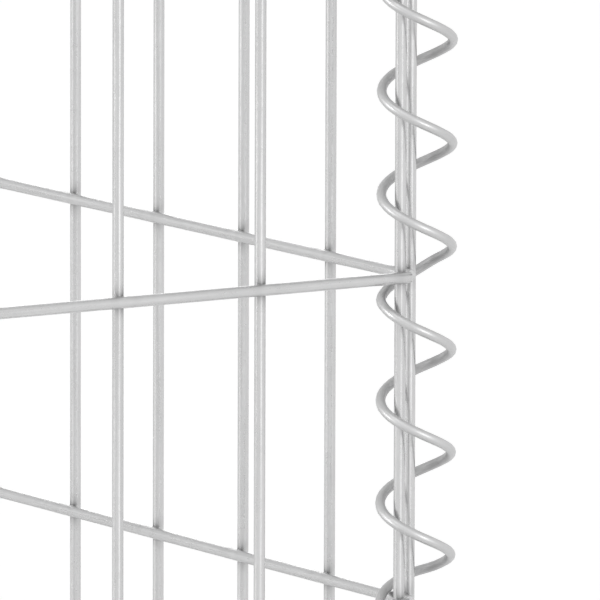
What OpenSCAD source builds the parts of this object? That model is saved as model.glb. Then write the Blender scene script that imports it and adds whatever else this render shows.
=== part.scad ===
// One wall cage of a gabion bin store: welded mesh panels laced together by wire spirals.
// Units are millimetres. The origin is on the ground at the middle of the footprint, +Z is up,
// and the narrow front end faces -Y. The cage is open at the top, where its stones go in.

/* [Mesh] */
// Diameter of the panel wires
wire_d = 3.5; // [3:0.1:4.2]
// Distance between upright wires
cell_w = 50; // [45:1:60]
// Distance between courses of level wires
cell_h = 100; // [80:1:120]
// How far crossing wires melt into each other at a weld
weld_sink = 0.5; // [0.3:0.1:0.7]

/* [Cage] */
// Cells across each narrow end
end_cells = 6; // [4:1:8]
// Full cells along each long side
side_cells = 18; // [7:1:24]
// Width of the short cell at each end of a long side
short_cell = 45; // [36:1:54]
// Cells from bottom to top
courses = 12; // [5:1:14]

/* [Corner] */
// Gap between an end panel's last upright and the side panel's level wires
seat_gap = 1; // [0.6:0.1:2]
// Gap, along the side, between the end panel's uprights and the side panel's first upright
lap_gap = 2.5; // [1:0.1:4]
// How far the side panels' level wires run past their end uprights
side_over = 5.3; // [2:0.1:6]

/* [Lacing] */
// Diameter of the wire of the spirals and ties
lace_d = 3; // [2.5:0.1:3.5]
// Advance of a spiral in one turn
spiral_pitch = 31.5; // [28:0.5:38]
// Room between a spiral's inside and the edge wires that it laces
spiral_room = 1.5; // [1.2:0.1:2.5]
// Gap that round wires would keep where a tie or strand bears. Corners and straight lengths narrow it
lace_gap = 0.3; // [0.2:0.1:0.5]
// Height of a corner spiral's lower end above the lowest course
corner_start = 11; // [10:0.5:30]
// Distance from a base spiral's ends to the corner uprights
base_trim = 13; // [12:0.5:30]

/* [Ties] */
// Rows of ties, one above another
tie_rows = 3; // [1:1:4]
// Ties in a row
tie_columns = 3; // [1:1:5]
// How far a tie's hook turns around the level wire, in degrees
hook_turn = 250; // [200:5:260]

/* [Hidden] */
BAR_SIDES = 8;        // a panel wire is an eight-sided bar
TURN_STEPS = 8;       // straight lengths in one turn of a spiral
STEP_TURN = 360 / TURN_STEPS;
SPIRAL_START = STEP_TURN / 2;    // every spiral starts here, so that flat lengths face X and Y
PUSH_FULL = 25;       // degrees each way in which a strand keeps clear of a wire that it passes
PUSH_END = 80;        // degrees each way in which it eases back to its even pitch
TIE_SIDES = 6;         // a tie's wire is a six-sided bar
HOOK_STEPS = 9;        // straight lengths in a hook

wire_r = wire_d / 2;
lace_r = lace_d / 2;
layer = wire_d - weld_sink;      // between the centre lines of crossing panel wires
bar_d = wire_d * sqrt(2 * PI / (BAR_SIDES * sin(360 / BAR_SIDES)));    // same area as the round wire

// Corner bundle: the end panel's last upright stands at [0, 0], and the side panel's first
// upright at [seat_across, seat_in]. The spiral's axis is as far from one as from the other.
seat_across = wire_d + seat_gap + layer;
seat_in = wire_d + lap_gap;
axis_across = seat_across - lace_r;
axis_in = (pow(seat_across, 2) + pow(seat_in, 2) - 2 * axis_across * seat_across) / (2 * seat_in);
spiral_r = norm([axis_across, axis_in]) + wire_r + spiral_room + lace_r;

// Heights
rim_z = spiral_r + lace_r;               // axes of the base spirals, which lie on the ground
low_z = rim_z + axis_across;             // lowest course
high_z = low_z + courses * cell_h;       // highest course
base_z = low_z - seat_across;            // base wires that run along Y
base_cross_z = base_z + layer;           // base wires that run along X

// Widths and depths, from the middle of the cage
half_w = end_cells * cell_w / 2;                            // an end panel's last upright
half_d = side_cells * cell_w / 2 + short_cell + seat_in;    // an end panel's uprights
side_x = half_w + seat_across;                              // a side panel's uprights
course_x = side_x - layer;                                  // its level wires, inside them
course_y = half_d + layer;                                  // an end panel's, outside its uprights
base_x = course_x - seat_in;                                // the base panel's edge wires
base_y = course_y - seat_across;
rim_x = course_x - axis_in;                                 // axes of the base spirals
rim_y = base_y + axis_across;

course_zs = [for (i = [0 : courses]) low_z + i * cell_h];
end_xs = [for (i = [0 : end_cells]) -half_w + i * cell_w];
side_ys = let (reach = half_d - seat_in)
    concat(-reach, [for (i = [0 : side_cells]) (i - side_cells / 2) * cell_w], reach);
base_xs = concat(-base_x, [for (x = end_xs) if (abs(x) < base_x - cell_w / 2) x], base_x);
base_ys = let (n = floor((base_y - cell_h / 2) / cell_h))
    concat(-base_y, [for (i = [-n : n]) i * cell_h], base_y);

CORNERS = [["front_right", 1, -1], ["front_left", -1, -1], ["back_right", 1, 1], ["back_left", -1, 1]];
EDGES = [["front", -1], ["back", 1], ["right", 1], ["left", -1]];

function last(list) = list[len(list) - 1];
function sum(list, i = 0) = i < len(list) ? list[i] + sum(list, i + 1) : 0;

// A closed tube through points, which are rings of sides points each.
module tube(sides, points) {
    lengths = len(points) / sides - 1;
    polyhedron(points, concat(
        [[for (j = [0 : sides - 1]) j]],
        [for (i = [0 : lengths - 1], j = [0 : sides - 1])
            let (k = (j + 1) % sides, p = sides * i, q = p + sides)
            each [[p + j, q + k, p + k], [p + j, q + j, q + k]]],
        [[for (j = [sides - 1 : -1 : 0]) sides * lengths + j]]));
}

// ---- panels --------------------------------------------------------------------------------

// A straight wire from the origin along +Z.
module bar(length) {
    rotate([0, 0, 180 / BAR_SIDES]) cylinder(d = bar_d, h = length, $fn = BAR_SIDES);
}

// Wires along Z at each x, welded to wires along X at each z, whose centres are at y = cross_y
// and which run past the outermost of the others by over.
module mesh(xs, zs, cross_y, over) {
    for (x = xs)
        translate([x, 0, zs[0] - wire_r]) bar(last(zs) - zs[0] + wire_d);
    for (z = zs)
        translate([xs[0] - over, cross_y, z]) rotate([0, 90, 0]) bar(last(xs) - xs[0] + 2 * over);
}

// End panels have their level wires outside, so back is -1 for the front and 1 for the back.
module end_panel(back) {
    color("silver") translate([0, back * half_d, 0]) mesh(end_xs, course_zs, back * layer, wire_r);
}

// Side panels have their level wires inside, so right is 1 for the right and -1 for the left.
module side_panel(right) {
    color("silver") translate([right * side_x, 0, 0]) rotate([0, 0, 90])
        mesh(side_ys, course_zs, right * layer, side_over);
}

module base_panel() {
    color("silver") translate([0, 0, base_z]) rotate([-90, 0, 0])
        mesh(base_xs, base_ys, -layer, wire_r);
}

// ---- lacing spirals ------------------------------------------------------------------------

// How far along its axis a strand has to be from a wire that it passes.
strand_lean = atan(spiral_pitch / (2 * PI * spiral_r));
strand_need = (wire_r + lace_r + lace_gap) / cos(strand_lean);

// Where a spiral crosses a wire that lies off from its axis and runs away to the side toward.
function ring_reach(off, toward) = toward * sqrt(pow(spiral_r, 2) - pow(off, 2));

// 1 near a wire, easing to 0 at PUSH_END degrees from it.
function push_share(turn) =
    let (t = max(0, min(1, (PUSH_END - abs(turn)) / (PUSH_END - PUSH_FULL)))) t * t * (3 - 2 * t);

// How far a strand at turn is pushed along the axis by the wire at place, which crosses the
// spiral at angle.
function push(turn, angle, place) =
    let (level = SPIRAL_START - angle,
         at = level + 360 * round(place / spiral_pitch - level / 360),
         gap = at / 360 * spiral_pitch - place)
    abs(gap) < strand_need
        ? (gap < 0 ? -1 : 1) * (strand_need - abs(gap)) * push_share(turn - at)
        : 0;

// A left-handed spiral about +Z from z = 0. crossings lists each family of wires that it
// passes, as [the angle at which they cross it, their places along it].
module spiral(length, crossings) {
    steps = floor(length / spiral_pitch * TURN_STEPS);
    outer = (spiral_r + lace_r) / cos(STEP_TURN / 2);
    inner = (spiral_r - lace_r) / cos(STEP_TURN / 2);
    half_width = PI * lace_r / 4 / cos(strand_lean);
    tube(4, [for (i = [0 : steps])
        let (turn = i * STEP_TURN,
             a = SPIRAL_START - turn,
             z = turn / 360 * spiral_pitch
                 + sum([for (family = crossings, place = family[1]) push(turn, family[0], place)]))
        for (corner = [[outer, -1], [outer, 1], [inner, 1], [inner, -1]])
            [corner[0] * cos(a), corner[0] * sin(a), z + corner[1] * half_width]]);
}

// The spiral at the corner where right and back are each 1 or -1.
module corner_spiral(right, back) {
    start = low_z + corner_start;
    end_off = back * (layer + axis_in);
    side_off = right * (course_x - half_w - axis_across);
    places = [for (z = course_zs) z - start];
    color("gainsboro")
    translate([right * (half_w + axis_across), back * (half_d - axis_in), start])
        spiral(high_z + lace_d - start,
               [[atan2(end_off, ring_reach(end_off, -right)), places],
                [atan2(ring_reach(side_off, -back), side_off), places]]);
}

// The spiral under the front or back panel, which runs along +X.
module base_end_spiral(back) {
    start = base_trim - half_w;
    wall_off = back * (half_d - rim_y);
    base_off = rim_z - base_z;
    color("gainsboro")
    translate([start, back * rim_y, rim_z]) rotate([0, 90, 0])
        spiral(-2 * start,
               [[atan2(wall_off, ring_reach(wall_off, -1)), [for (x = end_xs) x - start]],
                [atan2(ring_reach(base_off, -back), base_off), [for (x = base_xs) x - start]]]);
}

// The spiral under a side panel, which runs along +Y.
module base_side_spiral(right) {
    start = base_trim - half_d;
    wall_off = right * (side_x - rim_x);
    base_off = rim_z - base_cross_z;
    color("gainsboro")
    translate([right * rim_x, start, rim_z]) rotate([-90, 0, 0])
        spiral(-2 * start,
               [[atan2(ring_reach(wall_off, -1), wall_off), [for (y = side_ys) y - start]],
                [atan2(base_off, ring_reach(base_off, -right)), [for (y = base_ys) y - start]]]);
}

// ---- ties ----------------------------------------------------------------------------------

hook_r = (wire_r + lace_gap + lace_r) / cos(hook_turn / HOOK_STEPS / 2);
tie_corner_r = lace_r * sqrt(2 * PI / (TIE_SIDES * sin(360 / TIE_SIDES)));

// A wire across the cage that hooks on the side panels' level wires and keeps them from bulging.
module tie(row, column) {
    z = course_zs[round(row * courses / (tie_rows + 1))];
    y = (round(2 * column * side_cells / (tie_columns + 1)) / 2 - side_cells / 2 + 0.25) * cell_w;
    color("gainsboro") translate([0, y, z]) tube(TIE_SIDES, [
        for (side = [1, -1], i = [0 : HOOK_STEPS])
            let (share = side > 0 ? 1 - i / HOOK_STEPS : i / HOOK_STEPS,
                 a = 90 - side * share * hook_turn)
            for (j = [0 : TIE_SIDES - 1])
                let (b = j * 360 / TIE_SIDES,
                     r = hook_r + tie_corner_r * cos(b))
                [side * course_x + r * cos(a), tie_corner_r * sin(b), r * sin(a)]]);
}

// ---- nodes ---------------------------------------------------------------------------------

end_panel(-1);  // front_panel
end_panel(1);  // back_panel
side_panel(1);  // right_panel
side_panel(-1);  // left_panel
base_panel();
for (corner = CORNERS)
    corner_spiral(corner[1], corner[2]);
base_end_spiral(-1);  // base_front_spiral
base_end_spiral(1);  // base_back_spiral
base_side_spiral(1);  // base_right_spiral
base_side_spiral(-1);  // base_left_spiral
for (row = [1 : tie_rows], column = [1 : tie_columns])
    tie(row, column);
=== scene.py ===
# An empty gabion wall cage of welded mesh panels, laced along its edges by wire spirals.
import math
import random
from collections import namedtuple

import bpy
from mathutils import Matrix, Vector

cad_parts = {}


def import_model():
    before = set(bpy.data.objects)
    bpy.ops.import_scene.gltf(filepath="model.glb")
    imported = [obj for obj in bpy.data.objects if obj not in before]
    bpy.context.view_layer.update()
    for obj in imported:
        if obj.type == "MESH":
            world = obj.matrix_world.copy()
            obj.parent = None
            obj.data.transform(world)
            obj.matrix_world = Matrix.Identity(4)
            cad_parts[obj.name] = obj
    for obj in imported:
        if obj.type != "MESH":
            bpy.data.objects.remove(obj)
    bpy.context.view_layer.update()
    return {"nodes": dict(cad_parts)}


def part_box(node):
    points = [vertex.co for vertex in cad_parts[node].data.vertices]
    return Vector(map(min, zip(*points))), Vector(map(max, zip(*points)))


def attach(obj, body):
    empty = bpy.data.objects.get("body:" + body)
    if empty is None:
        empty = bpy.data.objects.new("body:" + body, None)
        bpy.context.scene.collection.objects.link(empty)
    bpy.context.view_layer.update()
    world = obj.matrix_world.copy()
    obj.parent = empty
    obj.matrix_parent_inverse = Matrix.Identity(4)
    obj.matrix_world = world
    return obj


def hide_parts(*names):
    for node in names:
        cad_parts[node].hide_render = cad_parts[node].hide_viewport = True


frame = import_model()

MM = 0.001
X, Y, Z = Vector((1, 0, 0)), Vector((0, 1, 0)), Vector((0, 0, 1))

# ---- sizes that the CAD boxes don't give, in millimetres, as in the part's source ------------

WIRE_R = 1.75              # radius of the panel wires
LAYER = 3.0                # between the centre lines of crossing panel wires
CELL_W = 50.0              # between upright wires
CELL_H = 100.0             # between courses of level wires
SEAT_IN = 6.0              # an end panel's uprights to the side panel's first upright
SIDE_OVER = 5.3            # side panels' level wires, past their end uprights
LACE_R = 1.5               # radius of the wire of the spirals and ties
PITCH = 31.5               # advance of a spiral in one turn
LACE_GAP = 0.3             # between round wires where a tie or strand bears
START_TURN = 22.5          # a spiral's angle at its first end, in degrees
PUSH_FULL = 25.0           # degrees each way in which a strand keeps clear of a wire
PUSH_END = 80.0            # degrees each way in which it eases back to its even pitch
HOOK_TURN = 250.0          # how far a tie's hook turns
BAR_SIDES = 8              # a panel wire is an eight-sided bar in the CAD
BAR_FLAT = WIRE_R * math.sqrt(math.pi / (BAR_SIDES * math.tan(math.pi / BAR_SIDES)))  # half its width

# ---- how finely the wires are modelled -------------------------------------------------------

WIRE_SIDES = 12
LACE_SIDES = 12
TURN_RINGS = 32            # rings in one turn of a spiral
HOOK_RINGS = 24            # lengths in a tie's hook

# ---- cut ends and welds, in millimetres ------------------------------------------------------

SHEAR = 0.25               # length of the rounded edge at a cut end
SHEAR_R = 0.22             # and how much narrower the cut is
NUGGET_R = 1.7             # radius of the lens of metal at a weld
NUGGET_THICK = 0.8         # and half its thickness
NUGGET_SQUARE = 0.13       # how far it swells into its four corners, as a share of its radius
NUGGET_ROWS = 6
NUGGET_SIDES = 16
# A weld's mark is darker partly as its heat mark and partly as painted shade where the wires meet.
MARK_IN = 8.0              # along a wire, up to here counts as near a weld
MARK_OUT = 10.0            # and from here on as away from it
MARK_CORE = 1.7            # distance from a weld's middle within which its mark and painted shade are whole
MARK_EDGE = 8.0            # and where it ends
MARK_FADE = 2.6            # how fast it fades between them
FAR = Vector((0, 0, 1e4))  # the weld of wires that have none

# Each wire's own place in the noise: a draw from 0 to the most, times these two
SHIFT_MOST = 9
SHIFT_ACROSS = 40
SHIFT_ALONG = 1000
NUGGET_SHIFT_MOST = 40     # a nugget's place, in millimetres

# The first seed of each kind of wire
PANEL_SEED = 1
CORNER_SEED = 11
BASE_END_SEED = 21
BASE_SIDE_SEED = 31
TIE_SEED = 41


def box_mm(node):
    """The corners of a CAD node's box, in millimetres."""
    low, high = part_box(node)
    return [c / MM for c in low], [c / MM for c in high]


# ---- places, from the CAD boxes --------------------------------------------------------------

front_low, front_high = box_mm("front_panel")
right_high = box_mm("right_panel")[1]
base_low, base_high = box_mm("base_panel")
rim_low, rim_high = box_mm("base_right_spiral")

half_w = front_high[0] - WIRE_R                    # an end panel's last upright
half_d = -front_low[1] - BAR_FLAT - LAYER          # an end panel's uprights
low_z = front_low[2] + WIRE_R                      # lowest course
high_z = front_high[2] - WIRE_R                    # highest course
side_x = right_high[0] - BAR_FLAT                  # a side panel's uprights
course_x = side_x - LAYER                          # its level wires
base_x = base_high[0] - WIRE_R                     # the base panel's edge wires
base_y = base_high[1] - WIRE_R
base_z = base_low[2] + BAR_FLAT                    # base wires along Y
base_cross_z = base_z + LAYER                      # base wires along X
spiral_r = (rim_high[0] - rim_low[0]) / 2 - LACE_R

courses = round((high_z - low_z) / CELL_H)
side_reach = half_d - SEAT_IN                      # a side panel's end uprights
side_cells = round(2 * side_reach / CELL_W) - 2    # its full cells, without the short end cells
course_zs = [low_z + i * CELL_H for i in range(courses + 1)]
end_xs = [-half_w + i * CELL_W for i in range(round(2 * half_w / CELL_W) + 1)]
side_ys = [(i - side_cells / 2) * CELL_W for i in range(side_cells + 1)]
side_ys = [-side_reach] + side_ys + [side_reach]
base_xs = [-base_x] + [x for x in end_xs if abs(x) < base_x - CELL_W / 2] + [base_x]
base_cross_n = int((base_y - CELL_H / 2) // CELL_H)
base_ys = [-base_y] + [i * CELL_H for i in range(-base_cross_n, base_cross_n + 1)] + [base_y]


# ---- building round wires --------------------------------------------------------------------

# A ring of a wire: its centre, two directions across the wire, its radius, its place along the
# wire, the nearest weld, and 1 near that weld or 0 away from it. In a coiled wire, across
# points out of the coil.
Ring = namedtuple("Ring", "centre across other radius along weld near")


class Wires:
    """Round wires gathered into one mesh. Each vertex keeps its place in its own straightened
    wire, for the drawn streaks, its offset from the nearest weld, for the marks there, which are
    partly heat marks and partly painted shade, and how far it faces into its coil, for the painted
    shade inside the coil."""

    def __init__(self, seed):
        self.points = []
        self.places = []
        self.offsets = []
        self.near = []
        self.inward = []
        self.faces = []
        self.smooth = []
        self.random = random.Random(seed)

    def vertex(self, point, place, weld, near, inward):
        self.points.append(point)
        self.places.append(place)
        self.offsets.append(point - weld)
        self.near.append(near)
        self.inward.append(inward)

    def face(self, corners, smooth):
        self.faces.append(tuple(corners))
        self.smooth.append(smooth)

    def sweep(self, rings, sides):
        """One wire through rings, closed at both ends."""
        first = len(self.points)
        shift = self.random.uniform(0, SHIFT_MOST)
        for ring in rings:
            for j in range(sides):
                a = 2 * math.pi * j / sides
                c, s = math.cos(a), math.sin(a)
                point = ring.centre + ring.radius * (c * ring.across + s * ring.other)
                place = (c * ring.radius + shift * SHIFT_ACROSS, s * ring.radius,
                         ring.along + shift * SHIFT_ALONG)
                # how far a side of a coiled wire faces into its coil, where painted shade darkens it
                inward = max(0.0, -c) if ring.weld is FAR else 0.0
                self.vertex(point, place, ring.weld, ring.near, inward)
        for i in range(len(rings) - 1):
            p = first + i * sides
            for j in range(sides):
                k = (j + 1) % sides
                self.face((p + j, p + k, p + sides + k, p + sides + j), True)
        last = first + (len(rings) - 1) * sides
        self.face(range(first + sides - 1, first - 1, -1), False)
        self.face(range(last, last + sides), False)

    def straight(self, start, end, welds, toward):
        """A panel wire with sheared ends. welds are the distances from its start to its welds,
        which lie off its centre line by toward."""
        run = end - start
        length = run.length
        ahead = run / length
        across = ahead.orthogonal().normalized()
        other = ahead.cross(across)
        stops = [0.0, SHEAR, length - SHEAR, length]
        for weld in welds:
            stops += [stop for reach in (MARK_IN, MARK_OUT) for stop in (weld - reach, weld + reach)
                      if SHEAR < stop < length - SHEAR]
        rings = []
        for stop in sorted(stops):
            weld = min(welds, key=lambda w: abs(w - stop))
            radius = WIRE_R - (SHEAR_R if stop in (0.0, length) else 0.0)
            near = 1.0 if abs(stop - weld) < (MARK_IN + MARK_OUT) / 2 else 0.0
            rings.append(Ring(start + stop * ahead, across, other, radius, stop,
                              start + weld * ahead + toward, near))
        self.sweep(rings, WIRE_SIDES)

    def nugget(self, centre, along, other, thick):
        """The metal squeezed out around a weld: a lens between the two wires."""
        first = len(self.points)
        shift = self.random.uniform(0, NUGGET_SHIFT_MOST)
        for i in range(1, NUGGET_ROWS):
            lift = math.pi * i / NUGGET_ROWS
            for j in range(NUGGET_SIDES):
                a = 2 * math.pi * j / NUGGET_SIDES
                # squarer than an ellipse, because the metal gathers in the four corners
                reach = NUGGET_R * (1 + NUGGET_SQUARE * abs(math.sin(2 * a)))
                p = (centre + reach * math.sin(lift) * (math.cos(a) * along + math.sin(a) * other)
                     + NUGGET_THICK * math.cos(lift) * thick)
                self.vertex(p, (p.x + shift, p.y, p.z), centre, 1.0, 0.0)
        for i in range(NUGGET_ROWS - 2):
            p = first + i * NUGGET_SIDES
            for j in range(NUGGET_SIDES):
                k = (j + 1) % NUGGET_SIDES
                self.face((p + j, p + NUGGET_SIDES + j, p + NUGGET_SIDES + k, p + k), True)
        last = len(self.points) - NUGGET_SIDES
        self.face(range(first, first + NUGGET_SIDES), True)
        self.face(range(last + NUGGET_SIDES - 1, last - 1, -1), True)

    def piece(self, name, node, material, place=Matrix.Identity(4)):
        """The finished object, which stands for a CAD node and rides on the cage's one body."""
        mesh = bpy.data.meshes.new(name)
        mesh.from_pydata([tuple(place @ p * MM) for p in self.points], [], self.faces)
        mesh.polygons.foreach_set("use_smooth", self.smooth)
        for title, kind, key, values in (
                ("wire_place", "FLOAT_VECTOR", "vector", [c for p in self.places for c in p]),
                ("weld_offset", "FLOAT_VECTOR", "vector", [c for p in self.offsets for c in p]),
                ("weld_near", "FLOAT", "value", self.near),
                ("inward", "FLOAT", "value", self.inward)):
            mesh.attributes.new(title, kind, "POINT").data.foreach_set(key, values)
        mesh.materials.append(material)
        mesh.update()
        obj = bpy.data.objects.new(name, mesh)
        bpy.context.scene.collection.objects.link(obj)
        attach(obj, "root")
        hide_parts(node)
        return obj


# ---- materials -------------------------------------------------------------------------------

METALLIC = 0.85
STREAK_SCALE = 1.6         # drawn streaks, in cycles a millimetre across the wire
STREAK_STRETCH = 0.015     # and how much slower they change along it
STREAK_DETAIL = 3.0
STREAK_ROUGH = 0.05        # how far they move the roughness each way
CLOUD_SCALE = 0.09         # broad uneven patches
CLOUD_DETAIL = 2.0
CLOUD_TONE = 0.012
GRIT_SCALE = 3.4           # fine grain
GRIT_DETAIL = 4.0
GRIT_TONE = 0.008
SPANGLE_SCALE = 0.55       # zinc crystals
SPANGLE_ROUGH = 0.03
MARK_AND_SHADE_TONE = 0.30           # how much darker a weld's mark is: partly its heat mark, partly painted shade where the wires meet
MARK_ROUGH = 0.15          # and how much rougher
MARK_SIDE = (0.4, 0.85)    # a mark fades from one to the other as a side turns from its weld
COIL_SHADE_TONE = 0.14         # painted shade: how much darker the inside of a coil is
UPPER_SHADE_TONE = 0.10          # painted shade: how much darker an upper side is
UPPER_ROUGH = 0.10         # and how much rougher
UPPER_SLOPE = (0.35, 0.95)     # a side starts to be upper at one rise of its normal, and is at the other
BLUE_SHARE = 1.003         # zinc is very slightly blue
BUMP_STRENGTH = 0.08
BUMP_DEPTH = 0.00006       # in metres
STREAK_HEIGHT = 0.6        # the streaks' share of the bump
GRIT_HEIGHT = 0.4          # and the grain's
STREAK_RANGE = (0.25, 0.75)    # the part of a noise that is spread to full strength
NOISE_RANGE = (0.3, 0.7)


class Graph:
    """A node tree, with short ways to add to it. A value is a number, a tuple or a socket."""

    def __init__(self, tree):
        self.nodes = tree.nodes
        self.links = tree.links

    def feed(self, socket, value):
        if isinstance(value, (int, float, tuple)):
            socket.default_value = value
        else:
            self.links.new(value, socket)

    def node(self, kind, inputs, **settings):
        made = self.nodes.new(kind)
        for key, value in settings.items():
            setattr(made, key, value)
        for key, value in inputs.items():
            self.feed(made.inputs[key], value)
        return made

    def math(self, operation, a, b):
        return self.node("ShaderNodeMath", {0: a, 1: b}, operation=operation).outputs[0]

    def total(self, value, *others):
        for other in others:
            value = self.math("ADD", value, other)
        return value

    def scaled(self, value, factor):
        return self.math("MULTIPLY", value, factor)

    def spread(self, value, span, to_low, to_high):
        """value's span becomes to_low to to_high, and what lies past it is held there."""
        inputs = {"Value": value, "From Min": span[0], "From Max": span[1],
                  "To Min": to_low, "To Max": to_high}
        return self.node("ShaderNodeMapRange", inputs).outputs["Result"]

    def either_way(self, value, span, reach):
        return self.spread(value, span, -reach, reach)

    def noise(self, vector, scale, detail):
        inputs = {"Vector": vector, "Scale": scale, "Detail": detail}
        return self.node("ShaderNodeTexNoise", inputs).outputs["Fac"]

    def attribute(self, name, output):
        return self.node("ShaderNodeAttribute", {}, attribute_name=name).outputs[output]


def weld_mark_and_shade(graph, normal):
    """1 in the middle of a weld's mark, which is partly its heat mark and partly painted shade where
    the wires meet, and 0 past its edge. There is none on the side of a wire that faces away from its
    weld."""
    offset = graph.attribute("weld_offset", "Vector")
    distance = graph.node("ShaderNodeVectorMath", {0: offset}, operation="LENGTH").outputs["Value"]
    fading = graph.spread(distance, (MARK_CORE, MARK_EDGE), 1.0, 0.0)
    mark_and_shade = graph.math("MULTIPLY", graph.math("POWER", fading, MARK_FADE),
                      graph.attribute("weld_near", "Fac"))
    away = graph.node("ShaderNodeVectorMath", {0: offset}, operation="NORMALIZE").outputs["Vector"]
    facing = graph.node("ShaderNodeVectorMath", {0: away, 1: normal}, operation="DOT_PRODUCT")
    return graph.math("MULTIPLY", mark_and_shade, graph.spread(facing.outputs["Value"], MARK_SIDE, 1.0, 0.0))


def galvanised(name, base, roughness, streak, spangle):
    """Zinc-coated wire: pale grey metal with drawn streaks along it, faint spangle, a dull heat
    mark with painted contact shade at each weld, a rougher upper side darkened with painted shade,
    and painted shade inside each coil. base is its even tone, and streak and spangle are how far
    those two move it each way."""
    material = bpy.data.materials.new(name)
    material.use_nodes = True
    graph = Graph(material.node_tree)
    shader = graph.nodes["Principled BSDF"]

    normal = graph.node("ShaderNodeNewGeometry", {}).outputs["Normal"]
    rise = graph.node("ShaderNodeSeparateXYZ", {"Vector": normal}).outputs["Z"]
    # how far a side faces up: such a side is rougher, and darker with painted shade
    upper = graph.spread(rise, UPPER_SLOPE, 0.0, 1.0)
    # painted shade inside each coil
    inward = graph.attribute("inward", "Fac")
    # a weld's heat mark together with painted shade where the wires meet
    mark_and_shade = weld_mark_and_shade(graph, normal)

    place = graph.attribute("wire_place", "Vector")
    drawn = graph.node("ShaderNodeMapping", {"Vector": place, "Scale": (1.0, 1.0, STREAK_STRETCH)})
    streaks = graph.noise(drawn.outputs["Vector"], STREAK_SCALE, STREAK_DETAIL)
    cloud = graph.noise(place, CLOUD_SCALE, CLOUD_DETAIL)
    grit = graph.noise(place, GRIT_SCALE, GRIT_DETAIL)
    cells = graph.node("ShaderNodeTexVoronoi", {"Vector": place, "Scale": SPANGLE_SCALE})
    crystal = graph.node("ShaderNodeSeparateColor", {"Color": cells.outputs["Color"]}).outputs

    tone = graph.total(graph.either_way(streaks, STREAK_RANGE, streak),
                       graph.either_way(cloud, NOISE_RANGE, CLOUD_TONE),
                       graph.either_way(crystal[0], (0.0, 1.0), spangle),
                       graph.either_way(grit, NOISE_RANGE, GRIT_TONE),
                       graph.scaled(mark_and_shade, -MARK_AND_SHADE_TONE),
                       graph.scaled(inward, -COIL_SHADE_TONE),
                       graph.scaled(upper, -UPPER_SHADE_TONE),
                       base)
    colour = graph.node("ShaderNodeCombineColor", {0: tone, 1: tone, 2: graph.scaled(tone, BLUE_SHARE)})
    graph.feed(shader.inputs["Base Color"], colour.outputs["Color"])

    rough = graph.total(graph.either_way(streaks, STREAK_RANGE, STREAK_ROUGH),
                        graph.either_way(crystal[1], (0.0, 1.0), SPANGLE_ROUGH),
                        graph.scaled(mark_and_shade, MARK_ROUGH),
                        graph.scaled(upper, UPPER_ROUGH),
                        roughness)
    graph.feed(shader.inputs["Roughness"], rough)
    graph.feed(shader.inputs["Metallic"], METALLIC)

    height = graph.total(graph.scaled(streaks, STREAK_HEIGHT), graph.scaled(grit, GRIT_HEIGHT))
    bump = graph.node("ShaderNodeBump", {"Strength": BUMP_STRENGTH, "Distance": BUMP_DEPTH,
                                         "Height": height})
    graph.feed(shader.inputs["Normal"], bump.outputs["Normal"])
    return material


panel_wire = galvanised("galvanised_panel_wire", base=0.635, roughness=0.30, streak=0.045, spangle=0.006)
spiral_wire = galvanised("galvanised_spiral_wire", base=0.63, roughness=0.47, streak=0.025, spangle=0.006)
tie_wire = galvanised("galvanised_tie_wire", base=0.64, roughness=0.40, streak=0.025, spangle=0.006)

# ---- panels ----------------------------------------------------------------------------------


def panel(node, seed, origin, across, up, out, across_places, up_places, over):
    """Welded mesh: wires along up at each across place, and wires along across at each up
    place, which lie beside them in the direction out and run past them by over."""
    wires = Wires(seed)
    low, high = up_places[0] - WIRE_R, up_places[-1] + WIRE_R
    for place in across_places:
        start = origin + place * across
        wires.straight(start + low * up, start + high * up,
                       [p - low for p in up_places], LAYER / 2 * out)
    low, high = across_places[0] - over, across_places[-1] + over
    for place in up_places:
        start = origin + place * up + LAYER * out
        wires.straight(start + low * across, start + high * across,
                       [p - low for p in across_places], -LAYER / 2 * out)
    for a in across_places:
        for b in up_places:
            wires.nugget(origin + a * across + b * up + LAYER / 2 * out, across, up, out)
    return wires.piece(node + "_wires", node, panel_wire)


for seed, (node, *layout) in enumerate((
        ("front_panel", -half_d * Y, X, Z, -Y, end_xs, course_zs, WIRE_R),
        ("back_panel", half_d * Y, X, Z, Y, end_xs, course_zs, WIRE_R),
        ("right_panel", side_x * X, Y, Z, -X, side_ys, course_zs, SIDE_OVER),
        ("left_panel", -side_x * X, Y, Z, X, side_ys, course_zs, SIDE_OVER),
        ("base_panel", base_z * Z, X, Y, Z, base_xs, base_ys, WIRE_R)), PANEL_SEED):
    panel(node, seed, *layout)

# ---- lacing spirals --------------------------------------------------------------------------

lean = math.atan(PITCH / (2 * math.pi * spiral_r))
strand_need = (WIRE_R + LACE_R + LACE_GAP) / math.cos(lean)
half_width = math.pi * LACE_R / 4 / math.cos(lean)      # of a CAD strand, along the spiral


def push_share(turn):
    """1 near a wire, easing to 0 at PUSH_END degrees from it."""
    t = max(0.0, min(1.0, (PUSH_END - abs(turn)) / (PUSH_END - PUSH_FULL)))
    return t * t * (3 - 2 * t)


def pushes(crossings):
    """For each wire that would touch a strand: where it does, in degrees of turn, and how far
    the strand moves along the spiral. crossings are (angle in degrees, places)."""
    found = []
    for angle, places in crossings:
        for place in places:
            level = START_TURN - angle
            at = level + 360 * round(place / PITCH - level / 360)
            gap = at / 360 * PITCH - place
            if abs(gap) < strand_need:
                found.append((at, (-1 if gap < 0 else 1) * (strand_need - abs(gap))))
    return found


def cut_end(ring, way):
    """The narrower ring at a coiled wire's cut, past its last ring: way is 1 ahead, -1 behind."""
    ahead = ring.across.cross(ring.other)
    return ring._replace(centre=ring.centre + ahead * (way * SHEAR), radius=ring.radius - SHEAR_R,
                         along=ring.along + way * SHEAR)


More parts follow.
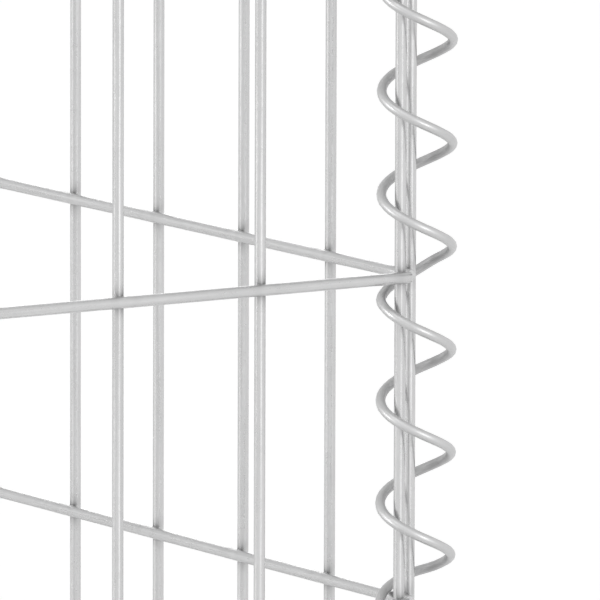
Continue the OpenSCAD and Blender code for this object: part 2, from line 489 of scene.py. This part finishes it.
def spiral(node, seed, place, crossings):
    """A left-handed spiral about its own +Z, whose first end is at the origin of place."""
    low, high = box_mm(node)
    length = max(h - l for l, h in zip(low, high)) - 2 * half_width
    shifts = pushes(crossings)
    step = 360.0 / TURN_RINGS

    def strand(turn):
        a = math.radians(START_TURN - turn)
        z = turn / 360 * PITCH + sum(s * push_share(turn - at) for at, s in shifts)
        return Vector((spiral_r * math.cos(a), spiral_r * math.sin(a), z)), a

    count = int(length / PITCH * TURN_RINGS) + TURN_RINGS
    while strand(count * step)[0].z > length:
        count -= 1
    rings = []
    along = 0.0
    before = None
    for i in range(count + 1):
        centre, a = strand(i * step)
        ahead = (strand((i + 0.5) * step)[0] - strand((i - 0.5) * step)[0]).normalized()
        out = Vector((math.cos(a), math.sin(a), 0))
        out = (out - out.dot(ahead) * ahead).normalized()
        along += (centre - before).length if before else 0.0
        before = centre
        rings.append(Ring(centre, out, ahead.cross(out), LACE_R, along, FAR, 0.0))
    wires = Wires(seed)
    wires.sweep([cut_end(rings[0], -1)] + rings + [cut_end(rings[-1], 1)], LACE_SIDES)
    return wires.piece(node + "_wire", node, spiral_wire, place)


def ring_reach(off, toward):
    """Where a spiral crosses a wire that lies off from its axis and runs away to toward."""
    return toward * math.sqrt(spiral_r ** 2 - off ** 2)


def angle_of(y, x):
    return math.degrees(math.atan2(y, x))


def corner_spiral(node, seed, right, back):
    """The upright spiral at the corner where right and back are each 1 or -1."""
    low, high = box_mm(node)
    axis_x, axis_y = (low[0] + high[0]) / 2, (low[1] + high[1]) / 2
    start = low[2] + half_width
    end_off = back * (half_d + LAYER) - axis_y
    side_off = right * course_x - axis_x
    places = [z - start for z in course_zs]
    spiral(node, seed, Matrix.Translation((axis_x, axis_y, start)),
           ((angle_of(end_off, ring_reach(end_off, -right)), places),
            (angle_of(ring_reach(side_off, -back), side_off), places)))


def base_end_spiral(node, seed, back):
    """The spiral under the front or back panel, which runs along +X."""
    low, high = box_mm(node)
    axis_y, axis_z = (low[1] + high[1]) / 2, (low[2] + high[2]) / 2
    start = low[0] + half_width
    wall_off = back * half_d - axis_y
    base_off = axis_z - base_z
    place = Matrix.Translation((start, axis_y, axis_z)) @ Matrix.Rotation(math.radians(90), 4, "Y")
    spiral(node, seed, place,
           ((angle_of(wall_off, ring_reach(wall_off, -1)), [x - start for x in end_xs]),
            (angle_of(ring_reach(base_off, -back), base_off), [x - start for x in base_xs])))


def base_side_spiral(node, seed, right):
    """The spiral under a side panel, which runs along +Y."""
    low, high = box_mm(node)
    axis_x, axis_z = (low[0] + high[0]) / 2, (low[2] + high[2]) / 2
    start = low[1] + half_width
    wall_off = right * side_x - axis_x
    base_off = axis_z - base_cross_z
    place = Matrix.Translation((axis_x, start, axis_z)) @ Matrix.Rotation(math.radians(-90), 4, "X")
    spiral(node, seed, place,
           ((angle_of(ring_reach(wall_off, -1), wall_off), [y - start for y in side_ys]),
            (angle_of(base_off, ring_reach(base_off, -right)), [y - start for y in base_ys])))


for seed, (corner, right, back) in enumerate((
        ("front_right", 1, -1), ("front_left", -1, -1),
        ("back_right", 1, 1), ("back_left", -1, 1)), CORNER_SEED):
    corner_spiral(corner + "_spiral", seed, right, back)
for seed, (edge, back) in enumerate((("front", -1), ("back", 1)), BASE_END_SEED):
    base_end_spiral("base_" + edge + "_spiral", seed, back)
for seed, (edge, right) in enumerate((("right", 1), ("left", -1)), BASE_SIDE_SEED):
    base_side_spiral("base_" + edge + "_spiral", seed, right)

# ---- ties ------------------------------------------------------------------------------------


def tie(node, seed):
    """A straight wire across the cage, with a hook round each side panel's level wire."""
    low, high = box_mm(node)
    y = (low[1] + high[1]) / 2
    course = min(course_zs, key=lambda z: abs(z - low[2]))
    hook_r = WIRE_R + LACE_GAP + LACE_R
    rings = []
    along = 0.0
    before = None
    for side in (1, -1):
        for i in range(HOOK_RINGS + 1):
            share = i / HOOK_RINGS
            a = math.radians(90 - side * HOOK_TURN * (1 - share if side > 0 else share))
            out = Vector((math.cos(a), 0, math.sin(a)))
            centre = Vector((side * course_x, y, course)) + hook_r * out
            along += (centre - before).length if before else 0.0
            before = centre
            rings.append(Ring(centre, out, Y, LACE_R, along, FAR, 0.0))
    wires = Wires(seed)
    wires.sweep(rings, LACE_SIDES)
    return wires.piece(node + "_wire", node, tie_wire)


for seed, node in enumerate(sorted(n for n in frame["nodes"] if n.startswith("tie_")), TIE_SEED):
    tie(node, seed)

# ---- floor, background and light -------------------------------------------------------------

FLOOR_HALF = 60.0
FLOOR_TONE = 0.8
WORLD_LEVEL = 0.45         # the white world's strength where it lights things; where it shows, it is 1
WHITE = 1.01               # the lit floor's tone in the picture, just over white
LAMP_PLACE = 3.0           # metres from the origin; a sun lamp's light doesn't depend on it
# Broad distant lamps, which light the whole floor evenly: where each comes from, in degrees
# (round from the front, to the right, and up), how wide it looks in degrees, and its strength.
LAMPS = {"key": (0, 9, 14, 0.6), "left": (-110, 10, 18, 0.7), "back": (150, 16, 24, 0.3),
         "top": (-70, 62, 20, 0.35)}


def shown_rays(graph):
    """1 for a ray that shows the background itself: seen, mirrored or through glass."""
    path = graph.node("ShaderNodeLightPath", {}).outputs
    seen_or_mirrored = graph.math("MAXIMUM", path["Is Camera Ray"], path["Is Glossy Ray"])
    return graph.math("MAXIMUM", seen_or_mirrored, path["Is Transmission Ray"])


def floor():
    """A pale floor that keeps shadows. Where it is fully lit it shows as white."""
    f = FLOOR_HALF
    mesh = bpy.data.meshes.new("floor")
    mesh.from_pydata([(-f, -f, 0), (f, -f, 0), (f, f, 0), (-f, f, 0)], [], [(0, 1, 2, 3)])
    obj = bpy.data.objects.new("floor", mesh)
    bpy.context.scene.collection.objects.link(obj)
    light = WORLD_LEVEL + sum(power * math.sin(math.radians(rise)) / math.pi
                              for turn, rise, width, power in LAMPS.values())
    material = bpy.data.materials.new("pale_floor")
    material.use_nodes = True
    graph = Graph(material.node_tree)
    graph.nodes.clear()
    diffuse = graph.node("ShaderNodeBsdfDiffuse", {"Color": (FLOOR_TONE, FLOOR_TONE, FLOOR_TONE, 1)})
    strength = graph.scaled(shown_rays(graph), WHITE - FLOOR_TONE * light)
    glow = graph.node("ShaderNodeEmission", {"Color": (1, 1, 1, 1), "Strength": strength})
    both = graph.node("ShaderNodeAddShader", {0: diffuse.outputs[0], 1: glow.outputs[0]})
    graph.node("ShaderNodeOutputMaterial", {"Surface": both.outputs[0]})
    mesh.materials.append(material)


def world():
    """A white background, which lights things less brightly than it shows."""
    made = bpy.data.worlds.new("studio")
    bpy.context.scene.world = made
    made.use_nodes = True
    graph = Graph(made.node_tree)
    background = graph.nodes["Background"].inputs
    graph.feed(background["Color"], (1, 1, 1, 1))
    graph.feed(background["Strength"], graph.spread(shown_rays(graph), (0.0, 1.0), WORLD_LEVEL, 1.0))


def lamp(name, turn, rise, width, power):
    light = bpy.data.lights.new(name, "SUN")
    light.angle = math.radians(width)
    light.energy = power
    turn, rise = math.radians(turn), math.radians(rise)
    level = math.cos(rise)
    comes_from = Vector((math.sin(turn) * level, -math.cos(turn) * level, math.sin(rise)))
    obj = bpy.data.objects.new(name, light)
    obj.location = LAMP_PLACE * comes_from
    obj.rotation_euler = comes_from.to_track_quat("Z", "Y").to_euler()
    bpy.context.scene.collection.objects.link(obj)


# ---- camera ----------------------------------------------------------------------------------

# It looks at the cage's front right corner, near the seventh course above the lowest.
CAMERA_COURSE = 7
CAMERA_TURN = 32.370                  # degrees from +Y, to the right
CAMERA_TILT = 8.320                   # degrees down
CAMERA_ROLL = 0.179
CAMERA_DISTANCE = 3.7277              # metres to the point that it looks at
CAMERA_AIM = (-26.1, 15.3, -7.1)      # that point, in millimetres from the corner at that course
CAMERA_LENS = 740.2                   # in millimetres, as is its sensor
CAMERA_SENSOR = 36
CAMERA_NEAR = 0.1
CAMERA_FAR = 300


def camera():
    corner = Vector((half_w, -half_d, course_zs[CAMERA_COURSE]))
    aim = (corner + Vector(CAMERA_AIM)) * MM
    turn, tilt = math.radians(CAMERA_TURN), math.radians(CAMERA_TILT)
    level = math.cos(tilt)
    look = Vector((math.sin(turn) * level, math.cos(turn) * level, -math.sin(tilt)))
    data = bpy.data.cameras.new("camera")
    data.lens = CAMERA_LENS
    data.sensor_width = CAMERA_SENSOR
    data.clip_start = CAMERA_NEAR
    data.clip_end = CAMERA_FAR
    obj = bpy.data.objects.new("camera", data)
    obj.location = aim - CAMERA_DISTANCE * look
    obj.rotation_euler = (look.to_track_quat("-Z", "Y").to_matrix()
                          @ Matrix.Rotation(math.radians(CAMERA_ROLL), 3, "Z")).to_euler()
    bpy.context.scene.collection.objects.link(obj)
    bpy.context.scene.camera = obj


floor()
world()
for name, values in LAMPS.items():
    lamp(name, *values)
camera()
bpy.context.scene.view_settings.view_transform = "Standard"
